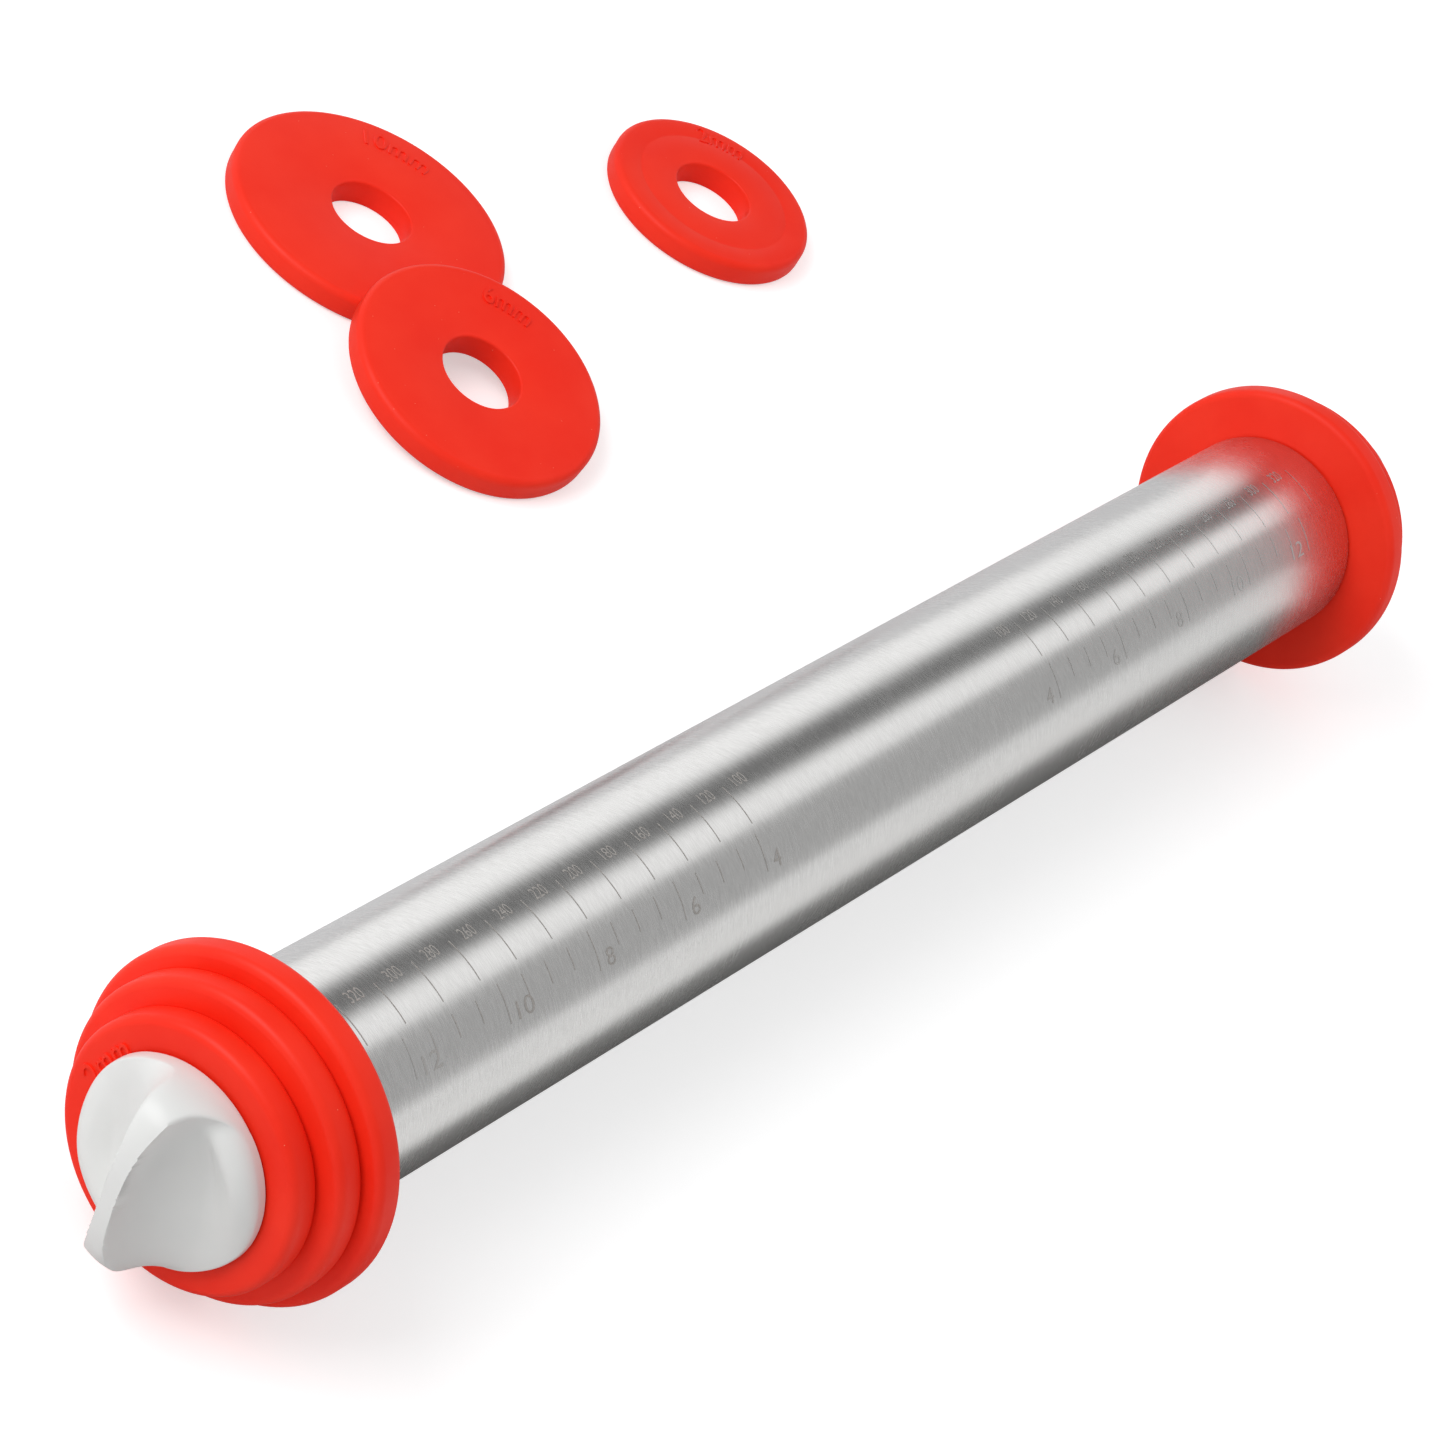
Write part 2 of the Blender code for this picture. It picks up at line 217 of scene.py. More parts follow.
def group_tree(name: str, inputs: dict[str, float | None], outputs: list[str]) -> Tree:
    """Make a shader node group with its sockets.

    Args:
        name: the group's name.
        inputs: each input and its default number, or None for a vector.
        outputs: the names of its numbers.

    Returns:
        The group, with one input and one output node.
    """
    tree = bpy.data.node_groups.new(name, "ShaderNodeTree")
    for title, value in inputs.items():
        kind = "NodeSocketVector" if value is None else "NodeSocketFloat"
        socket = tree.interface.new_socket(name=title, in_out="INPUT", socket_type=kind)
        if value is not None:
            socket.default_value = value
    for title in outputs:
        tree.interface.new_socket(name=title, in_out="OUTPUT", socket_type="NodeSocketFloat")
    tree.nodes.new("NodeGroupInput").name = "In"
    tree.nodes.new("NodeGroupOutput").name = "Out"
    return tree


class Wiring:
    """Short calls that add and link the nodes of one tree."""

    def __init__(self, tree: Tree) -> None:
        """Keep the tree."""
        self.tree = tree

    def node(self, kind: str, **settings: object) -> bpy.types.Node:
        """Add a node.

        Args:
            kind: the node's type.
            settings: its properties by name.

        Returns:
            The new node.
        """
        made = self.tree.nodes.new(kind)
        for name, value in settings.items():
            setattr(made, name, value)
        return made

    def link(self, source: Socket, target: Socket) -> None:
        """Link an output to an input."""
        self.tree.links.new(source, target)

    def feed(self, target: Socket, value: object) -> None:
        """Feed an input.

        Args:
            target: the input.
            value: a socket to link to it, or a plain value to set.
        """
        if isinstance(value, Socket):
            self.link(value, target)
        else:
            target.default_value = value

    def math(self, operation: str, first: object, second: object) -> Socket:
        """Work out a number.

        Args:
            operation: what the Math node does.
            first: its first number.
            second: its second number.

        Returns:
            The result.
        """
        made = self.node("ShaderNodeMath", operation=operation)
        self.feed(made.inputs[0], first)
        self.feed(made.inputs[1], second)
        return made.outputs[0]

    def noise(self, vector: object, scale: object, detail: float, roughness: float) -> Socket:
        """Make cloudy noise.

        Args:
            vector: where it is looked up.
            scale: its scale, one number for all axes or one for each.
            detail: its octaves.
            roughness: how much each octave keeps of the one before.

        Returns:
            Its value, about 0.5 in the middle.
        """
        if isinstance(scale, tuple):
            stretched = self.node("ShaderNodeMapping")
            self.feed(stretched.inputs["Vector"], vector)
            self.feed(stretched.inputs["Scale"], scale)
            vector = stretched.outputs["Vector"]
            scale = 1.0
        made = self.node("ShaderNodeTexNoise")
        for title, value in zip(("Vector", "Scale", "Detail", "Roughness"),
                                (vector, scale, detail, roughness)):
            self.feed(made.inputs[title], value)
        return made.outputs["Fac"]

    def span(self, value: object, source: Span, low: object = 0.0, high: object = 1.0) -> Socket:
        """Map a value from one range to another and keep it inside.

        Args:
            value: the value.
            source: the range that it comes from.
            low: what the range's lower end becomes.
            high: what its upper end becomes.

        Returns:
            The mapped value.
        """
        made = self.node("ShaderNodeMapRange")
        for title, number in zip(("Value", "From Min", "From Max", "To Min", "To Max"),
                                 (value, *source, low, high)):
            self.feed(made.inputs[title], number)
        return made.outputs["Result"]

    def mix(self, factor: object, first: object, second: object) -> Socket:
        """Mix two colours.

        Args:
            factor: the second colour's share.
            first: the first colour or its socket.
            second: the second colour or its socket.

        Returns:
            The mixed colour.
        """
        made = self.node("ShaderNodeMix", data_type="RGBA")
        self.feed(made.inputs["Factor"], factor)
        self.feed(made.inputs["A"], opaque(first))
        self.feed(made.inputs["B"], opaque(second))
        return made.outputs["Result"]

    def bump(self, height: Socket, strength: float, relief: float) -> Socket:
        """Bend the surface's normal by a height.

        Args:
            height: the height, from zero to one.
            strength: how much of the bump shows.
            relief: the depth that a height of one stands for.

        Returns:
            The bent normal.
        """
        made = self.node("ShaderNodeBump")
        self.link(height, made.inputs["Height"])
        self.feed(made.inputs["Strength"], strength)
        self.feed(made.inputs["Distance"], relief)
        return made.outputs["Normal"]

    def place(self, tree: Tree, **values: object) -> bpy.types.Node:
        """Add a node group.

        Args:
            tree: the group.
            values: its inputs by name, with underscores for spaces.

        Returns:
            The group's node.
        """
        made = self.node("ShaderNodeGroup", node_tree=tree)
        for name, value in values.items():
            self.feed(made.inputs[name.replace("_", " ")], value)
        return made


def opaque(colour: object) -> object:
    """Return a plain colour with its alpha, and a socket as it is."""
    return (*colour, 1.0) if isinstance(colour, tuple) else colour


class Effects:
    """The node groups that more than one finish uses, each built once."""

    speck_size: ClassVar[float] = 0.09
    cloud_scale: ClassVar[float] = 45.0
    cloud_span: ClassVar[Span] = (0.35, 0.65)
    smudge_span: ClassVar[Span] = (0.42, 0.72)

    def __init__(self) -> None:
        """Build every group."""
        self.skin = self.build_skin()
        self.smudges = self.build_smudges()

    def build_skin(self) -> Tree:
        """Wire up the skin that a mould leaves.

        Returns:
            A group with a fine height, rare specks of dust and a slow cloud.
        """
        tree = group_tree("moulded_skin", {"Vector": None, "Grain": 2500.0, "Specks": 900.0,
                                           "Speck Share": 0.0}, ["Height", "Speck", "Cloud"])
        wires = Wiring(tree)
        source = tree.nodes["In"].outputs
        out = tree.nodes["Out"].inputs
        grain = wires.noise(source["Vector"], source["Grain"], detail=2.0, roughness=0.6)
        wires.link(grain, out["Height"])
        cells = wires.node("ShaderNodeTexVoronoi")
        wires.link(source["Vector"], cells.inputs["Vector"])
        wires.link(source["Specks"], cells.inputs["Scale"])
        near = wires.math("LESS_THAN", cells.outputs["Distance"], self.speck_size)
        pick = wires.node("ShaderNodeSeparateColor")
        wires.link(cells.outputs["Color"], pick.inputs["Color"])
        rare = wires.math("LESS_THAN", pick.outputs["Red"], source["Speck Share"])
        wires.link(wires.math("MULTIPLY", near, rare), out["Speck"])
        cloud = wires.noise(source["Vector"], self.cloud_scale, detail=3.0, roughness=0.55)
        wires.link(wires.span(cloud, self.cloud_span), out["Cloud"])
        return tree

    def build_smudges(self) -> Tree:
        """Wire up the soft smudges that hands leave.

        Returns:
            A group with their mask.
        """
        tree = group_tree("smudges", {"Vector": None, "Scale": 30.0}, ["Smudge"])
        wires = Wiring(tree)
        source = tree.nodes["In"].outputs
        smudge = wires.noise(source["Vector"], source["Scale"], detail=4.0, roughness=0.6)
        wires.link(wires.span(smudge, self.smudge_span), tree.nodes["Out"].inputs["Smudge"])
        return tree


def new_material(name: str) -> tuple[Material, Wiring, bpy.types.Node]:
    """Make a material.

    Args:
        name: its name.

    Returns:
        The material, its wiring and its Principled shader.
    """
    made = bpy.data.materials.new(name)
    made.use_nodes = True
    return made, Wiring(made.node_tree), made.node_tree.nodes["Principled BSDF"]


@dataclass(frozen=True)
class BrushedSteel:
    """Stainless steel with fine brushing round the barrel."""

    effects: Effects
    bright: Colour = (0.80, 0.795, 0.785)
    dull: Colour = (0.715, 0.71, 0.70)
    fine: Triple = (3600.0, 420.0, 420.0)
    coarse: Triple = (900.0, 90.0, 90.0)
    coarse_share: float = 0.15
    tone_span: Span = (0.38, 0.62)
    rough_span: Span = (0.35, 0.65)
    roughness: Span = (0.24, 0.27)
    smudge_scale: float = 30.0
    smudge_share: float = 0.03
    bump: float = 0.1
    relief: float = 0.012 * MM
    brushing: float = 0.50
    quarter_turn: float = 0.25

    def build(self) -> Material:
        """Wire up the steel.

        Returns:
            The material.
        """
        made, wires, shader = new_material("brushed_steel")
        where = wires.node("ShaderNodeTexCoord").outputs["Object"]
        fine = wires.noise(where, self.fine, detail=2.0, roughness=0.6)
        coarse = wires.noise(where, self.coarse, detail=3.0, roughness=0.6)
        streak = wires.math("ADD", wires.math("MULTIPLY", fine, 1 - self.coarse_share),
                            wires.math("MULTIPLY", coarse, self.coarse_share))
        tone = wires.span(streak, self.tone_span)
        wires.link(wires.mix(tone, self.dull, self.bright), shader.inputs["Base Color"])
        marks = wires.place(self.effects.smudges, Vector=where, Scale=self.smudge_scale)
        smudge = wires.math("MULTIPLY", marks.outputs["Smudge"], self.smudge_share)
        rough = wires.math("ADD", wires.span(streak, self.rough_span, *self.roughness), smudge)
        wires.link(rough, shader.inputs["Roughness"])
        wires.link(wires.bump(streak, self.bump, self.relief), shader.inputs["Normal"])
        shader.inputs["Metallic"].default_value = 1.0
        shader.inputs["Anisotropic"].default_value = self.brushing
        shader.inputs["Anisotropic Rotation"].default_value = self.quarter_turn
        tangent = wires.node("ShaderNodeTangent", direction_type="RADIAL", axis="X")
        wires.link(tangent.outputs["Tangent"], shader.inputs["Tangent"])
        return made


@dataclass(frozen=True)
class EtchedSteel:
    """The matt grey of a mark etched into the steel, worn in places.

    It is worn pale on the right half, nearly away at the right end, and pale in the lower row at
    the left end.
    """

    shade: Colour = (0.32, 0.30, 0.28)
    light: Colour = (0.44, 0.42, 0.40)
    worn: Colour = (0.58, 0.57, 0.555)
    rubbed: Colour = (0.70, 0.69, 0.68)
    worn_right: Span = (20.0 * MM, 90.0 * MM)
    rubbed_right: Span = (90.0 * MM, 125.0 * MM)
    worn_left: Span = (-140.0 * MM, -152.0 * MM)
    lower_row: float = -92.0 * MM
    mottle_scale: float = 3200.0
    tone_span: Span = (0.35, 0.65)
    rough_span: Span = (0.3, 0.7)
    roughness: Span = (0.45, 0.60)
    worn_polish: float = 0.15
    metal: float = 0.35
    worn_metal: float = 0.90

    def build(self) -> Material:
        """Wire up the marks.

        Returns:
            The material.
        """
        made, wires, shader = new_material("etched_steel")
        where = wires.node("ShaderNodeTexCoord").outputs["Object"]
        mottle = wires.noise(where, self.mottle_scale, detail=2.0, roughness=0.6)
        parts = wires.node("ShaderNodeSeparateXYZ")
        wires.link(where, parts.inputs["Vector"])
        along = parts.outputs["X"]
        lower = wires.math("LESS_THAN", parts.outputs["Y"], self.lower_row)
        left = wires.math("MULTIPLY", wires.span(along, self.worn_left), lower)
        wear = wires.math("ADD", wires.span(along, self.worn_right), left)
        tone = wires.mix(wires.span(mottle, self.tone_span), self.shade, self.light)
        worn = wires.mix(wires.span(along, self.rubbed_right), self.worn, self.rubbed)
        wires.link(wires.mix(wear, tone, worn), shader.inputs["Base Color"])
        rough = wires.math("SUBTRACT", wires.span(mottle, self.rough_span, *self.roughness),
                           wires.math("MULTIPLY", wear, self.worn_polish))
        wires.link(rough, shader.inputs["Roughness"])
        wires.link(wires.span(wear, (0.0, 1.0), self.metal, self.worn_metal), shader.inputs["Metallic"])
        return made


@dataclass(frozen=True)
class Moulded:
    """Rubber or plastic in two close tones, with the skin that its mould leaves."""

    effects: Effects
    name: str
    body: Colour
    pale: Colour
    roughness: float = 0.36
    shine: float = 0.5
    dust: Colour = WHITE
    dust_share: float = 0.0
    grain: float = 2600.0
    bump: float = 0.3
    relief: float = 0.008 * MM
    smudge_scale: float = 70.0
    smudge_share: float = 0.12

    def build(self) -> Material:
        """Wire up the finish.

        Returns:
            The material.
        """
        made, wires, shader = new_material(self.name)
        where = wires.node("ShaderNodeTexCoord").outputs["Object"]
        skin = wires.place(self.effects.skin, Vector=where, Grain=self.grain, Speck_Share=self.dust_share)
        colour = wires.mix(skin.outputs["Cloud"], self.body, self.pale)
        colour = wires.mix(skin.outputs["Speck"], colour, self.dust)
        wires.link(colour, shader.inputs["Base Color"])
        marks = wires.place(self.effects.smudges, Vector=where, Scale=self.smudge_scale)
        smudge = wires.math("MULTIPLY", marks.outputs["Smudge"], self.smudge_share)
        wires.link(wires.math("ADD", self.roughness, smudge), shader.inputs["Roughness"])
        normal = wires.bump(skin.outputs["Height"], self.bump, self.relief)
        wires.link(normal, shader.inputs["Normal"])
        shader.inputs["Specular IOR Level"].default_value = self.shine
        return made


@dataclass(frozen=True)
class Silicone(Moulded):
    """Matt red silicone rubber with a few specks of dust."""

    name: str = "red_silicone"
    body: Colour = (0.93, 0.023, 0.007)
    pale: Colour = (0.965, 0.033, 0.012)
    roughness: float = 0.42
    shine: float = 0.20
    dust: Colour = (1.0, 0.22, 0.15)
    dust_share: float = 0.04
    grain: float = 1800.0
    bump: float = 0.4
    relief: float = 0.02 * MM
    smudge_scale: float = 60.0
    smudge_share: float = 0.10


@dataclass(frozen=True)
class WhitePlastic(Moulded):
    """Off-white plastic with a satin skin."""

    name: str = "white_plastic"
    body: Colour = (0.745, 0.75, 0.735)
    pale: Colour = (0.77, 0.775, 0.76)


@dataclass(frozen=True)
class GreyPlastic(Moulded):
    """Plain grey plastic."""

    name: str = "grey_plastic"
    body: Colour = (0.40, 0.40, 0.39)
    pale: Colour = (0.46, 0.46, 0.45)
    roughness: float = 0.48


@dataclass(frozen=True)
class Palette:
    """The finishes of the whole set."""

    steel: Material
    etched: Material
    silicone: Material
    knob: Material
    plug: Material

    @classmethod
    def mixed(cls) -> "Palette":
        """Build every finish once.

        Returns:
            The palette.
        """
        effects = Effects()
        return cls(BrushedSteel(effects).build(), EtchedSteel().build(), Silicone(effects).build(),
                   WhitePlastic(effects).build(), GreyPlastic(effects).build())


# Sub-assemblies


@dataclass(frozen=True)
class Axis:
    """The barrel's axis, read from the frame."""

    centre: Vector
    half_length: float

    @classmethod
    def of_barrel(cls) -> "Axis":
        """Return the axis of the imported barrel."""
        low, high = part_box("barrel_tube")
        return cls((low + high) / 2, (high.x - low.x) / 2)

    def place(self, end: End) -> Matrix:
        """Return the place of an end's own frame: origin on the end face, +X outward."""
        reach = Vector((end.sign * self.half_length, 0.0, 0.0))
        return Matrix.Translation(self.centre + reach) @ Matrix.Rotation(end.value, 4, "Z")


@dataclass(frozen=True)
class Rule:
    """The rule etched round the barrel: millimetres in the upper row, inches in the lower."""

    radius: float
    first_mm: int = 100
    last_mm: int = 320
    step_mm: int = 20
    line_low: float = math.radians(-17.9)
    line_high: float = math.radians(5.2)
    figure_low: float = math.radians(1.3)
    figure_high: float = math.radians(8.1)
    figure_offset: float = 3.05 * MM
    figure_width: float = 3.55 * MM
    inch: float = 25.4 * MM
    first_inch: int = 4
    last_inch: int = 12
    inch_step: int = 2
    ticks_between: int = 3
    tick_low: float = math.radians(-42.2)
    tick_high: float = math.radians(-22.8)
    short_low: float = math.radians(-35.6)
    short_high: float = math.radians(-24.5)
    inch_figure_low: float = math.radians(-42.6)
    inch_figure_high: float = math.radians(-33.9)
    inch_figure_offset: float = 2.3 * MM
    inch_figure_width: float = 2.3 * MM
    stroke: float = 0.24 * MM
    lift: float = 0.02 * MM
    strip: float = 0.45 * MM

    def line(self, shape: Shape, along: float, low: float, high: float) -> None:
        """Add a straight line across the rule, still flat.

        Args:
            shape: the flat rule, with the way round the barrel along Y.
            along: the line's place on the axis.
            low: the angle of its lower end.
            high: the angle of its upper end.
        """
        middle = (along, (low + high) / 2 * self.radius, 0.0)
        size = Matrix.Diagonal((self.stroke, (high - low) * self.radius, 1.0, 1.0))
        bmesh.ops.create_grid(shape, x_segments=1, y_segments=1, size=0.5,
                              matrix=Matrix.Translation(middle) @ size)

    def figure(self, shape: Shape, text: str, left: float, width: float, low: float,
               high: float) -> None:
        """Add a number to the flat rule.

        Args:
            shape: the flat rule.
            text: the number.
            left: the place of its left edge.
            width: its width.
            low: the angle of its foot.
            high: the angle of its top.
        """
        part = lettering(text, width, (high - low) * self.radius, 0.0)
        middle = Vector((left + width / 2, (low + high) / 2 * self.radius, 0.0))
        bmesh.ops.translate(part, vec=middle, verts=part.verts[:])
        join(shape, part)

    def flat(self) -> Shape:
        """Lay out the whole rule flat.

        Returns:
            The rule, with X along the barrel and Y round it.
        """
        shape = bmesh.new()
        for end in End:
            for mark in range(self.first_mm, self.last_mm + 1, self.step_mm):
                along = end.sign * mark / 2 * MM
                self.line(shape, along, self.line_low, self.line_high)
                left = along + self.figure_offset
                if end is End.RIGHT:
                    left = along - self.figure_offset - self.figure_width
                self.figure(shape, str(mark), left, self.figure_width, self.figure_low, self.figure_high)
            for mark in range(self.first_inch, self.last_inch + 1, self.inch_step):
                self.inch_mark(shape, end, mark)
        return shape

    def inch_mark(self, shape: Shape, end: End, mark: int) -> None:
        """Add one numbered inch tick and the short ticks beyond it.

        Args:
            shape: the flat rule.
            end: the end that the tick lies towards.
            mark: its number.
        """
        along = end.sign * mark / 2 * self.inch
        self.line(shape, along, self.tick_low, self.tick_high)
        width = self.inch_figure_width * len(str(mark))
        left = along + self.inch_figure_offset
        if end is End.RIGHT:
            left = along - self.inch_figure_offset - width
        self.figure(shape, str(mark), left, width, self.inch_figure_low, self.inch_figure_high)
        if mark == self.last_inch:
            return
        gap = self.inch_step / 2 * self.inch / (self.ticks_between + 1)
        for step in range(1, self.ticks_between + 1):
            self.line(shape, along + end.sign * gap * step, self.short_low, self.short_high)

    def wrapped(self) -> Shape:
        """Cut the rule into narrow strips and bend it round the barrel.

        Returns:
            The rule about X, a hair above the steel.
        """
        shape = self.flat()
        low = self.tick_low * self.radius
        strips = math.ceil((self.figure_high - self.tick_low) * self.radius / self.strip)
        for index in range(1, strips):
            bmesh.ops.bisect_plane(shape, geom=shape.verts[:] + shape.edges[:] + shape.faces[:],
                                   dist=MERGE_DISTANCE, plane_co=(0, low + index * self.strip, 0),
                                   plane_no=(0, 1, 0))
        for vert in shape.verts:
            angle = vert.co.y / self.radius
            reach = self.radius + self.lift
            vert.co = Vector((vert.co.x, reach * math.sin(angle), reach * math.cos(angle)))
        return shape


@dataclass(frozen=True)
class Barrel:
    """The steel tube with its rule, and the plastic plug inside each end."""

    axis: Axis
    palette: Palette
    radius: float = 21.2 * MM
    wall: float = 1.0 * MM
    edge: float = 0.4 * MM
    plug_gap: float = 0.3 * MM
    plug_front: float = 3.0 * MM
    plug_length: float = 18.0 * MM
    plug_wall: float = 2.0 * MM
    bore: float = 7.4 * MM
    bore_lip: float = 8.8 * MM
    plug_edge: float = 0.5 * MM
    edge_facets: int = 4
    plug_edge_facets: int = 3
    sides: int = 256

    def tube(self) -> Object:
        """Model the tube with its rounded ends.

        Returns:
            The tube.
        """
        half = self.axis.half_length
        inside = self.radius - self.wall
        corners = [(-half, inside), (-half, self.radius), (half, self.radius), (half, inside)]
        shape = turned(corners, self.sides, True)
        for along in (-half, half):
            round_circle(shape, along, self.radius, self.edge, self.edge_facets)
        thing = finished("steel_tube", shape, Matrix.Translation(self.axis.centre), self.palette.steel)
        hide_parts("barrel_tube")
        return thing

    def rule(self) -> Object:
        """Model the etched rule."""
        shape = Rule(self.radius).wrapped()
        return finished("etched_rule", shape, Matrix.Translation(self.axis.centre), self.palette.etched)

    def plug(self, end: End) -> Object:
        """Model the plug in one end, whose front shows when the knob is screwed out.

        Args:
            end: the barrel's end.

        Returns:
            The plug.
        """
        front = -self.plug_gap
        back = front - self.plug_length
        floor = front - self.plug_front
        outer = self.radius - self.wall - self.plug_gap
        skirt = outer - self.plug_wall
        corners = [(front, self.bore_lip), (front, outer), (back, outer), (back, skirt), (floor, skirt),
                   (floor, self.bore + self.plug_wall), (back, self.bore + self.plug_wall),
                   (back, self.bore), (front - self.plug_edge, self.bore)]
        shape = turned(corners, self.sides // 2, True)
        round_circle(shape, front, outer, self.plug_edge, self.plug_edge_facets)
        thing = finished(f"plug_{end.word}", shape, self.axis.place(end), self.palette.plug)
        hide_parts(f"end_plug_{end.word}")
        return thing

    def build(self) -> list[Object]:
        """Build every piece that rides on the barrel.

        Returns:
            The pieces.
        """
        steel = [self.tube(), self.rule()]
        plugs = [self.plug(end) for end in End]
        for thing in steel + plugs:
            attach(thing, "barrel")
        return steel + plugs


@dataclass(frozen=True)
class ThicknessRing:
    """One silicone ring with its size in raised figures on its outer face."""

    gauge: Gauge
    palette: Palette
    radius: float
    thickness: float = 5.9 * MM
    hole: float = 9.0 * MM
    edge: float = 1.6 * MM
    hole_edge: float = 0.5 * MM
    mark_insets: ClassVar[dict[Gauge, float]] = {
        Gauge.TEN: 6.3 * MM,
        Gauge.SIX: 6.0 * MM,
        Gauge.TWO: 4.6 * MM,
    }
    mark_height: float = 4.9 * MM
    mark_width: float = 3.9 * MM
    mark_relief: float = 0.35 * MM
    imprint_radius: float = 18.3 * MM
    imprint_depth: float = 0.10 * MM
    imprint_width: float = 0.7 * MM
    edge_facets: int = 6
    hole_edge_facets: int = 3
    sides: int = 160

    def mark(self) -> Shape:
        """Model the raised size mark.

        Returns:
            The mark, bent round the ring at its top.
        """
        letters = len(self.gauge.value)
        part = lettering(self.gauge.value, self.mark_width * letters, self.mark_height, self.mark_relief)
        middle = self.radius - self.mark_insets[self.gauge]
        half = self.thickness / 2
        for vert in part.verts:
            reach = middle + vert.co.y
            angle = vert.co.x / middle
            vert.co = Vector((half + vert.co.z, reach * math.sin(angle), reach * math.cos(angle)))
        return part

    def body(self) -> Shape:
        """Model the ring itself; the smallest has a fine groove in its face.

        Returns:
            The ring about X, its marked face towards +X.
        """
        half = self.thickness / 2
        corners = [(half, self.hole), (half, self.radius), (-half, self.radius), (-half, self.hole)]
        if self.gauge is Gauge.TWO:
            inner = self.imprint_radius - self.imprint_width
            corners[1:1] = [(half, inner), (half - self.imprint_depth, inner + self.imprint_width / 2),
                            (half, self.imprint_radius)]
        shape = turned(corners, self.sides, True)
        for along in (-half, half):
            round_circle(shape, along, self.radius, self.edge, self.edge_facets)
            round_circle(shape, along, self.hole, self.hole_edge, self.hole_edge_facets)
        return shape

    def build(self, name: str, node: str, place: Matrix, body: str) -> Object:
        """Build the ring in its place.

        Args:
            name: the piece's name.
            node: the CAD node that it stands for.
            place: where its own frame goes; +X points out of the marked face.
            body: the body that it rides on.

        Returns:
            The ring.
        """
        shape = self.body()
        join(shape, self.mark())
        thing = finished(name, shape, place, self.palette.silicone)
        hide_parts(node)
        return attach(thing, body)


def soft_larger(first: float, second: float, blend: float) -> float:
    """Return the larger of two heights, with a fillet as wide as the blend where they meet."""
    gap = max(blend - abs(first - second), 0.0) / blend
    return max(first, second) + gap * gap * blend / 4


def eased(value: float, low: float, high: float) -> float:
    """Return a share that grows smoothly from zero at the low value to one at the high value."""
    share = min(max((value - low) / (high - low), 0.0), 1.0)
    return share * share * (3 - 2 * share)


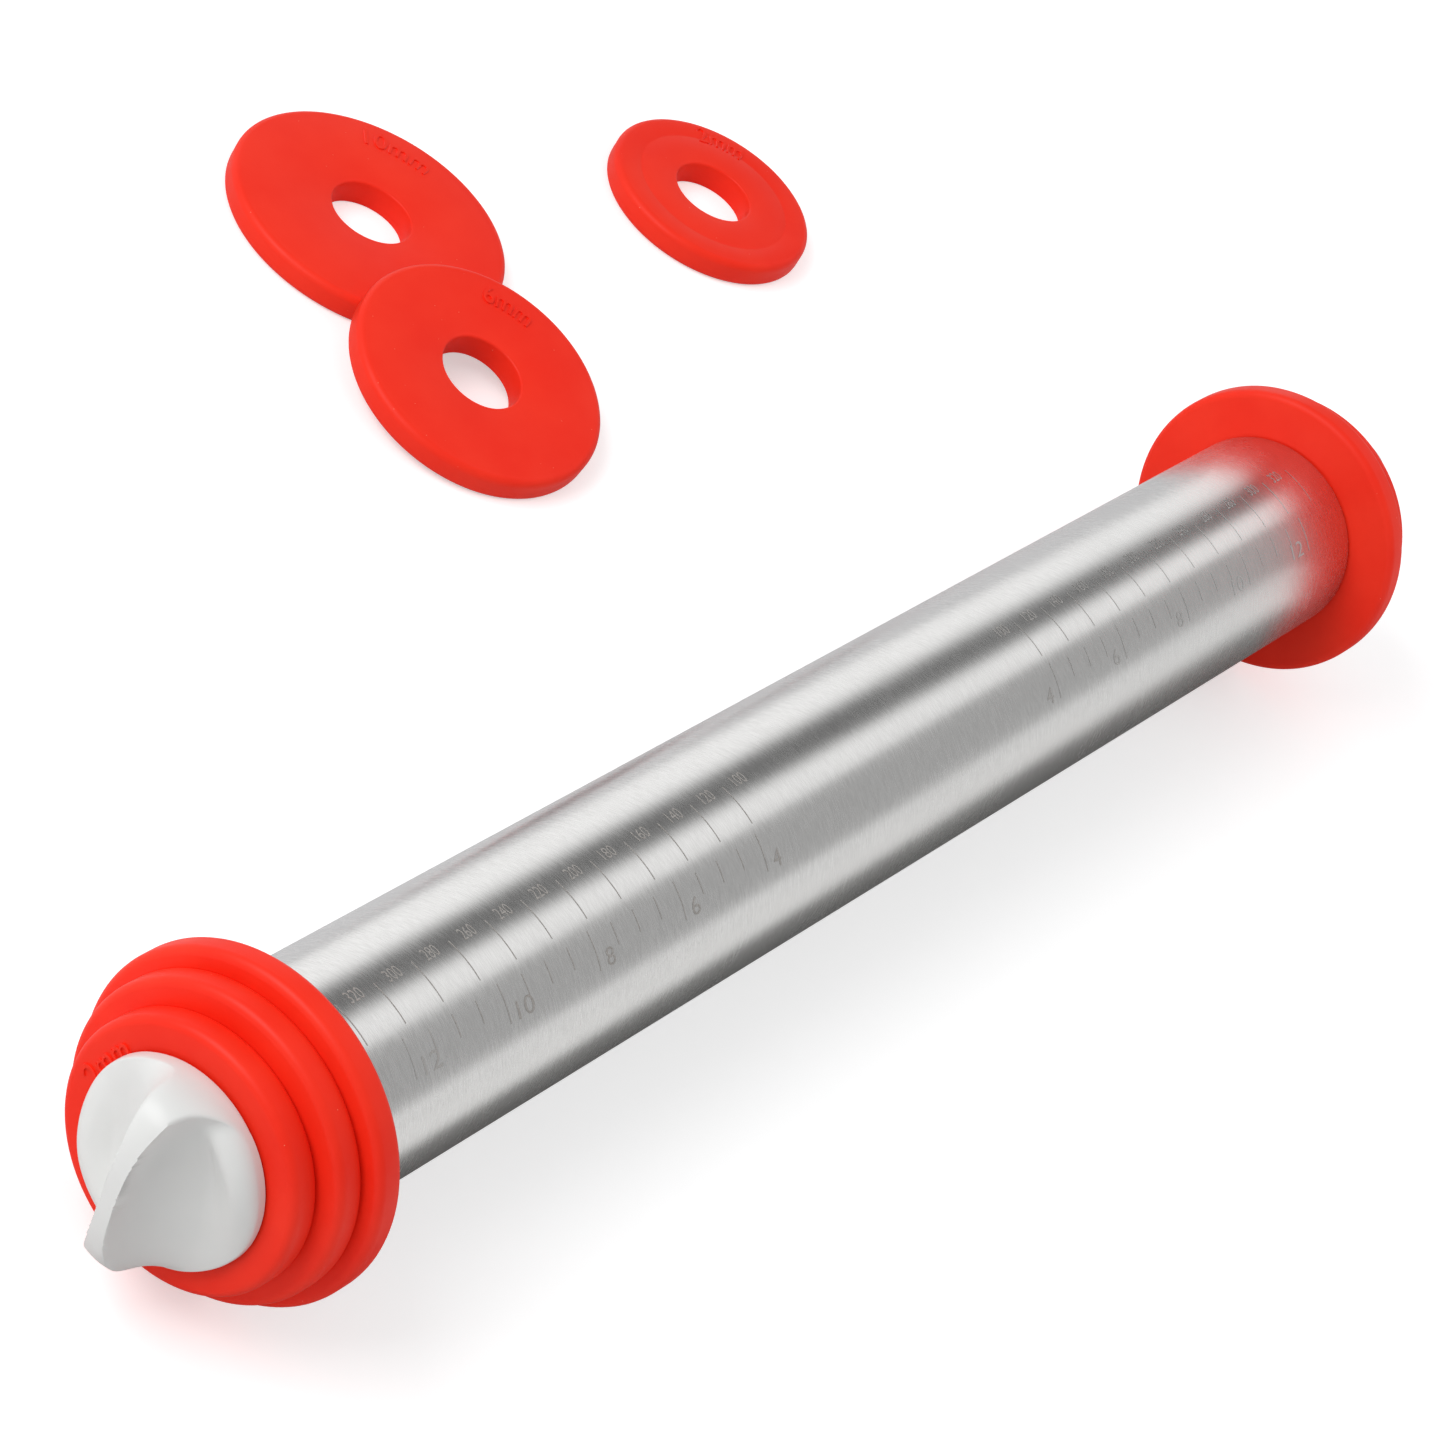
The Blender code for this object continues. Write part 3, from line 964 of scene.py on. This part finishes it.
@dataclass(frozen=True)
class KnobEnd:
    """The knob and its hollow screw at one end.

    The knob is a dome with a long hollow for a finger on each side of its fin, down to a round
    plate. One hollow is the other turned by half a turn.
    """

    end: End
    axis: Axis
    palette: Palette
    stack: float = 18.9 * MM
    radius: float = 18.3 * MM
    height: float = 16.0 * MM
    dome_power: float = 2.53
    wall_power: float = 1.87
    fin_end_power: float = 2.5
    fin_end_reach: float = 8.3 * MM
    base_edge: float = 0.3 * MM
    plate: float = 2.3 * MM
    rim_width: float = 4.4 * MM
    rim_height: float = 0.8 * MM
    lip: float = 3.0 * MM
    lip_reach: Point = (7.5 * MM, 16.5 * MM)
    lip_way: Point = (-8.0 * MM, 10.0 * MM)
    fin: float = 3.1 * MM
    scoop_top: float = 15.9 * MM
    scoop_reach: float = 19.0 * MM
    scoop_outer: float = 28.0 * MM
    scoop_depth: float = 15.7 * MM
    scoop_half_length: float = 49.0 * MM
    scoop_power: float = 2.15
    scoop_shift: float = 0.5 * MM
    scoop_fall: float = 0.129
    floor_fall_share: float = 0.4
    curl: float = 0.8 * MM
    pinch: float = 1.0 * MM
    mouth_power: float = 4.5
    mouth_narrowing: float = 1.1
    mouth_narrowest: float = 0.12
    mouth_fin: float = 1.6 * MM
    crest_blend: float = 2.0 * MM
    foot_blend: float = 1.1 * MM
    recess: float = 1.4 * MM
    recess_radius: float = 13.3 * MM
    socket: float = 3.6 * MM
    socket_radius: float = 4.4 * MM
    turn: float = math.radians(10.6)
    sharp_above: float = 60.0
    base_edge_facets: int = 3
    dome_steps: int = 110
    sides: int = 256

    def outline(self) -> list[Point]:
        """Draw the outline of the knob before it is carved.

        Returns:
            The points from its socket round to the crown, with a wall as steep as the fin's ends.
        """
        points = [(self.socket, 0.0), (self.socket, self.socket_radius), (self.recess, self.socket_radius),
                  (self.recess, self.recess_radius), (0.0, self.recess_radius), (0.0, self.radius)]
        rise = 2 / (self.wall_power + self.fin_end_power)
        fall = 2 / self.dome_power
        for step in range(1, self.dome_steps):
            angle = math.pi / 2 * step / self.dome_steps
            points.append((self.height * math.sin(angle) ** rise, self.radius * math.cos(angle) ** fall))
        return points + [(self.height, 0.0)]

    def dome_height(self, across: float, reach: float) -> float:
        """Return the height of the whole dome, whose wall is steepest at the fin's two ends.

        Args:
            across: the distance from the fin's middle plane.
            reach: the distance from the knob's axis.

        Returns:
            The height over the knob's base.
        """
        share = min(reach / self.radius, 1.0)
        steep = self.wall_power + self.fin_end_power * math.exp(-(across / self.fin_end_reach) ** 2)
        return self.height * (1 - share ** self.dome_power) ** (1 / steep)

    def scoop_height(self, across: float, along: float) -> float:
        """Return the height of a scoop's floor.

        Args:
            across: the distance from the fin's middle plane.
            along: the place along the fin, with the scoop's closed end on the positive side.

        Returns:
            The height over the knob's base, or infinity outside the scoop.
        """
        beyond = along + self.scoop_shift
        curl = self.pinch if beyond > 0 else -self.curl
        mouth = max(-beyond / self.radius, 0.0) ** self.mouth_power
        reach = self.scoop_reach * max(1 - self.mouth_narrowing * mouth, self.mouth_narrowest)
        edge = self.fin / 2 + self.mouth_fin * mouth + reach + curl * (beyond / self.radius) ** 2
        wide = self.scoop_outer if across > edge else reach
        inside = 1 - abs((across - edge) / wide) ** self.scoop_power
        inside -= abs(beyond / self.scoop_half_length) ** self.scoop_power
        if inside <= 0:
            return math.inf
        slope = -self.scoop_fall * beyond
        depth = self.scoop_depth + self.floor_fall_share * slope
        return self.scoop_top + slope - depth * inside ** (1 / self.scoop_power)

    def plate_height(self, reach: float, along: float) -> float:
        """Return the height of the plate under a scoop.

        Args:
            reach: the distance from the knob's axis.
            along: the place along the fin, with the scoop's closed end on the positive side.

        Returns:
            The height over the knob's base, with a lip towards the closed end and a rounded rim.
        """
        lip = self.lip * eased(reach, *self.lip_reach) * eased(along, *self.lip_way)
        over = min(max(reach - self.radius + self.rim_width, 0.0) / self.rim_width, 1.0)
        top = self.plate + lip
        return top - (top - self.rim_height) * (1 - math.sqrt(1 - over ** 2))

    def carve(self, shape: Shape) -> None:
        """Lower the dome into the two scoops, with a soft crest and a fillet at the fin's foot.

        Args:
            shape: the turned blank.
        """
        for vert in shape.verts:
            side = math.copysign(1.0, vert.co.y)
            reach = vert.co.yz.length
            along = side * vert.co.z
            dome = self.dome_height(vert.co.y, reach)
            fin = -soft_larger(-dome, -self.scoop_height(abs(vert.co.y), along), self.crest_blend)
            plate = min(self.plate_height(reach, along), dome)
            vert.co.x = min(vert.co.x, soft_larger(plate, fin, self.foot_blend), dome)

    def knob(self) -> Object:
        """Model the knob.

        Returns:
            The knob.
        """
        shape = turned(self.outline(), self.sides, False)
        round_circle(shape, 0.0, self.radius, self.base_edge, self.base_edge_facets)
        self.carve(shape)
        place = self.axis.place(self.end) @ Matrix.Translation((self.stack, 0, 0))
        place = place @ Matrix.Rotation(self.turn, 4, "X")
        name = f"finger_knob_{self.end.word}"
        thing = finished(name, shape, place, self.palette.knob, self.sharp_above)
        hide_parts(f"knob_{self.end.word}")
        return thing

    def build(self) -> Object:
        """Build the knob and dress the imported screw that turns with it.

        Returns:
            The knob.
        """
        knob = self.knob()
        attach(knob, f"knob_{self.end.word}")
        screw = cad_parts[f"knob_screw_{self.end.word}"]
        screw.data.materials.clear()
        screw.data.materials.append(self.palette.knob)
        return knob


@dataclass(frozen=True)
class RingSets:
    """The mounted rings at both ends, and the loose ones behind the pin."""

    axis: Axis
    palette: Palette
    mounted_turn: float = math.radians(78.4)
    lean: float = math.radians(7.67)
    lean_heading: float = math.radians(70)
    mark_headings: ClassVar[dict[Gauge, float]] = {
        Gauge.TEN: math.radians(28.8),
        Gauge.SIX: math.radians(29.7),
        Gauge.TWO: math.radians(34.6),
    }

    def ring(self, gauge: Gauge) -> ThicknessRing:
        """Return a ring as large as its kind stands tall on the pin."""
        low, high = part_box(f"ring_{gauge.value}_left")
        return ThicknessRing(gauge, self.palette, (high.z - low.z) / 2)

    def mounted(self) -> list[Object]:
        """Build the rings on the pin.

        Returns:
            The rings, their marked faces outward.
        """
        made = []
        for end in End:
            for gauge in Gauge:
                node = f"ring_{gauge.value}_{end.word}"
                low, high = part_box(node)
                place = Matrix.Translation((low + high) / 2) @ Matrix.Rotation(end.value, 4, "Z")
                place = place @ Matrix.Rotation(self.mounted_turn, 4, "X")
                made.append(self.ring(gauge).build(f"thickness_{node}", node, place, node))
        return made

    def loose(self) -> list[Object]:
        """Build the loose rings.

        Returns:
            The rings, their marked faces up.
        """
        made = []
        upright = Matrix.Rotation(-math.pi / 2, 4, "Y")
        for gauge in Gauge:
            node = f"spare_ring_{gauge.value}"
            low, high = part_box(node)
            place = Matrix.Translation((low + high) / 2)
            if gauge is Gauge.SIX:
                way = Matrix.Rotation(self.lean_heading, 4, "Z")
                place = place @ way @ Matrix.Rotation(-self.lean, 4, "Y") @ way.inverted()
            place = place @ Matrix.Rotation(self.mark_headings[gauge] + math.pi, 4, "Z") @ upright
            thing = self.ring(gauge).build(f"loose_ring_{gauge.value}", node, place, node)
            thing.visible_glossy = False
            made.append(thing)
        return made

    def build(self) -> list[Object]:
        """Build every ring."""
        return self.mounted() + self.loose()


@dataclass(frozen=True)
class Studio:
    """The floor, the lamps, the surroundings and the camera."""

    axis: Axis
    azimuth: float = math.radians(-73.479)
    elevation: float = math.radians(36.647)
    lean: float = math.radians(35.0)
    distance: float = 0.91709
    aim: Point = (-0.00956, 0.02061)
    lens: float = 122.64
    sensor: float = 36.0
    floor_size: float = 8.0
    floor_roughness: float = 0.9
    floor_colour: Colour = (0.80, 0.80, 0.80)
    # Tones that only glossy rays see, painted for the barrel's reflection: a pale front, a darker back,
    # and a painted shadow just ahead of the barrel.
    floor_front: Colour = (0.98, 0.98, 0.97)
    floor_back: Colour = (0.74, 0.74, 0.75)
    floor_dusk: Colour = (0.22, 0.22, 0.215)
    dusk_span: Span = (92.0 * MM, 64.0 * MM)
    floor_seen: Colour = (0.78, 0.78, 0.78)
    floor_glow: float = 0.48
    glow_span: Span = (0.5, 1.3)
    daylight: Colour = (0.47, 0.47, 0.475)
    bands: ClassVar[tuple[Point, ...]] = (
        (-180, 0.90), (-84, 0.90), (-74, 0.44), (-24, 0.44), (-14, 0.98), (2, 1.05), (19, 0.17),
        (36, 0.13), (56, 1.10), (84, 1.10), (100, 0.75))
    key_way: Triple = (-0.75, 0.55, 0.85)
    key_energy: float = 13.5
    fill_way: Triple = (0.75, -0.65, 0.60)
    fill_energy: float = 5.0
    lamp_size: Point = (1.2, 0.8)
    lamp_distance: float = 1.5

    def camera(self) -> Object:
        """Place the camera as the picture was taken, leaning over to one side.

        Returns:
            The camera.
        """
        back = Vector((math.sin(self.azimuth) * math.cos(self.elevation),
                       -math.cos(self.azimuth) * math.cos(self.elevation), math.sin(self.elevation)))
        level = Vector((math.cos(self.azimuth), math.sin(self.azimuth), 0.0))
        turn = Matrix.Rotation(self.lean, 3, back)
        right = turn @ level
        upward = back.cross(right)
        data = bpy.data.cameras.new("camera")
        data.lens = self.lens
        data.sensor_width = self.sensor
        data.dof.use_dof = False
        thing = bpy.data.objects.new("camera", data)
        bpy.context.scene.collection.objects.link(thing)
        target = self.axis.centre + Vector((*self.aim, 0.0))
        turned_to = Matrix((right, upward, back)).transposed().to_4x4()
        thing.matrix_world = Matrix.Translation(target + back * self.distance) @ turned_to
        bpy.context.scene.camera = thing
        return thing

    def floor(self) -> Object:
        """Lay a plain floor that the camera sees white but for the object's shadow.

        Glossy rays see a painted reflection in place of its own colour: a darker back, a painted shadow
        just ahead of the barrel, and a pale front.

        Returns:
            The floor.
        """
        shape = bmesh.new()
        bmesh.ops.create_grid(shape, x_segments=1, y_segments=1, size=self.floor_size / 2)
        made, wires, shader = new_material("floor_paint")
        path = wires.node("ShaderNodeLightPath")
        seen = path.outputs["Is Camera Ray"]
        parts = wires.node("ShaderNodeSeparateXYZ")
        where = wires.node("ShaderNodeTexCoord").outputs["Object"]
        wires.link(where, parts.inputs["Vector"])
        away = wires.node("ShaderNodeVectorMath", operation="LENGTH")
        wires.link(where, away.inputs[0])
        glow = wires.span(away.outputs["Value"], self.glow_span, self.floor_glow)
        # Painted reflection for glossy rays only: a painted shadow just ahead of the barrel, paler further
        # in front, darker behind.
        ahead = wires.math("SUBTRACT", self.axis.centre.y, parts.outputs["Y"])
        painted_reflection = wires.mix(wires.span(ahead, self.dusk_span), self.floor_front, self.floor_dusk)
        painted_reflection = wires.mix(wires.math("GREATER_THAN", ahead, 0.0), self.floor_back, painted_reflection)
        paint = wires.mix(path.outputs["Is Glossy Ray"], self.floor_colour, painted_reflection)
        wires.link(wires.mix(seen, paint, self.floor_seen), shader.inputs["Base Color"])
        shader.inputs["Emission Color"].default_value = opaque(WHITE)
        wires.link(wires.math("MULTIPLY", seen, glow), shader.inputs["Emission Strength"])
        shader.inputs["Roughness"].default_value = self.floor_roughness
        thing = finished("studio_floor", shape, Matrix.Identity(4), made)
        return thing

    def surroundings(self) -> None:
        """Surround the set with even light, with bands along the barrel for glossy rays, and white."""
        world = bpy.data.worlds.new("studio")
        bpy.context.scene.world = world
        world.use_nodes = True
        wires = Wiring(world.node_tree)
        sky = world.node_tree.nodes["Background"]
        parts = wires.node("ShaderNodeSeparateXYZ")
        wires.link(wires.node("ShaderNodeTexCoord").outputs["Generated"], parts.inputs["Vector"])
        angle = wires.math("ARCTAN2", parts.outputs["Y"], parts.outputs["Z"])
        ramp = wires.node("ShaderNodeValToRGB")
        wires.link(wires.span(angle, (-math.pi, math.pi)), ramp.inputs["Fac"])
        ramp.color_ramp.interpolation = "EASE"
        stops = ramp.color_ramp.elements
        for index, (degrees, level) in enumerate(self.bands):
            stop = stops[index] if index < 2 else stops.new(1.0)
            stop.position = (degrees + 180) / 360
            stop.color = (level, level, level, 1.0)
        path = wires.node("ShaderNodeLightPath")
        lit = wires.mix(path.outputs["Is Glossy Ray"], self.daylight, ramp.outputs["Color"])
        wires.link(wires.mix(path.outputs["Is Camera Ray"], lit, WHITE), sky.inputs["Color"])

    def softbox(self, name: str, heading: Triple, energy: float) -> Object:
        """Hang a large soft lamp that points at the barrel.

        Args:
            name: the lamp's name.
            heading: the way from the barrel to the lamp.
            energy: its power in watts.

        Returns:
            The lamp.
        """
        data = bpy.data.lights.new(name, "AREA")
        data.shape = "RECTANGLE"
        data.size = self.lamp_size[0]
        data.size_y = self.lamp_size[1]
        data.energy = energy
        thing = bpy.data.objects.new(name, data)
        bpy.context.scene.collection.objects.link(thing)
        way = Vector(heading).normalized()
        thing.matrix_world = (Matrix.Translation(self.axis.centre + way * self.lamp_distance)
                              @ way.to_track_quat("Z", "Y").to_matrix().to_4x4())
        return thing

    def build(self) -> None:
        """Set up the whole studio."""
        bpy.context.scene.view_settings.view_transform = "Standard"
        self.camera()
        self.floor()
        self.surroundings()
        self.softbox("key_softbox", self.key_way, self.key_energy)
        fill = self.softbox("fill_softbox", self.fill_way, self.fill_energy)
        fill.visible_glossy = False


def main() -> None:
    """Build the studio and every sub-assembly."""
    logging.basicConfig(level=logging.INFO, format="%(name)s: %(message)s")
    axis = Axis.of_barrel()
    palette = Palette.mixed()
    Studio(axis).build()
    made = Barrel(axis, palette).build()
    made += RingSets(axis, palette).build()
    made += [KnobEnd(end, axis, palette).build() for end in End]
    for thing in made:
        LOG.info("%s: %d faces", thing.name, len(thing.data.polygons))


if __name__ == "__main__":
    main()
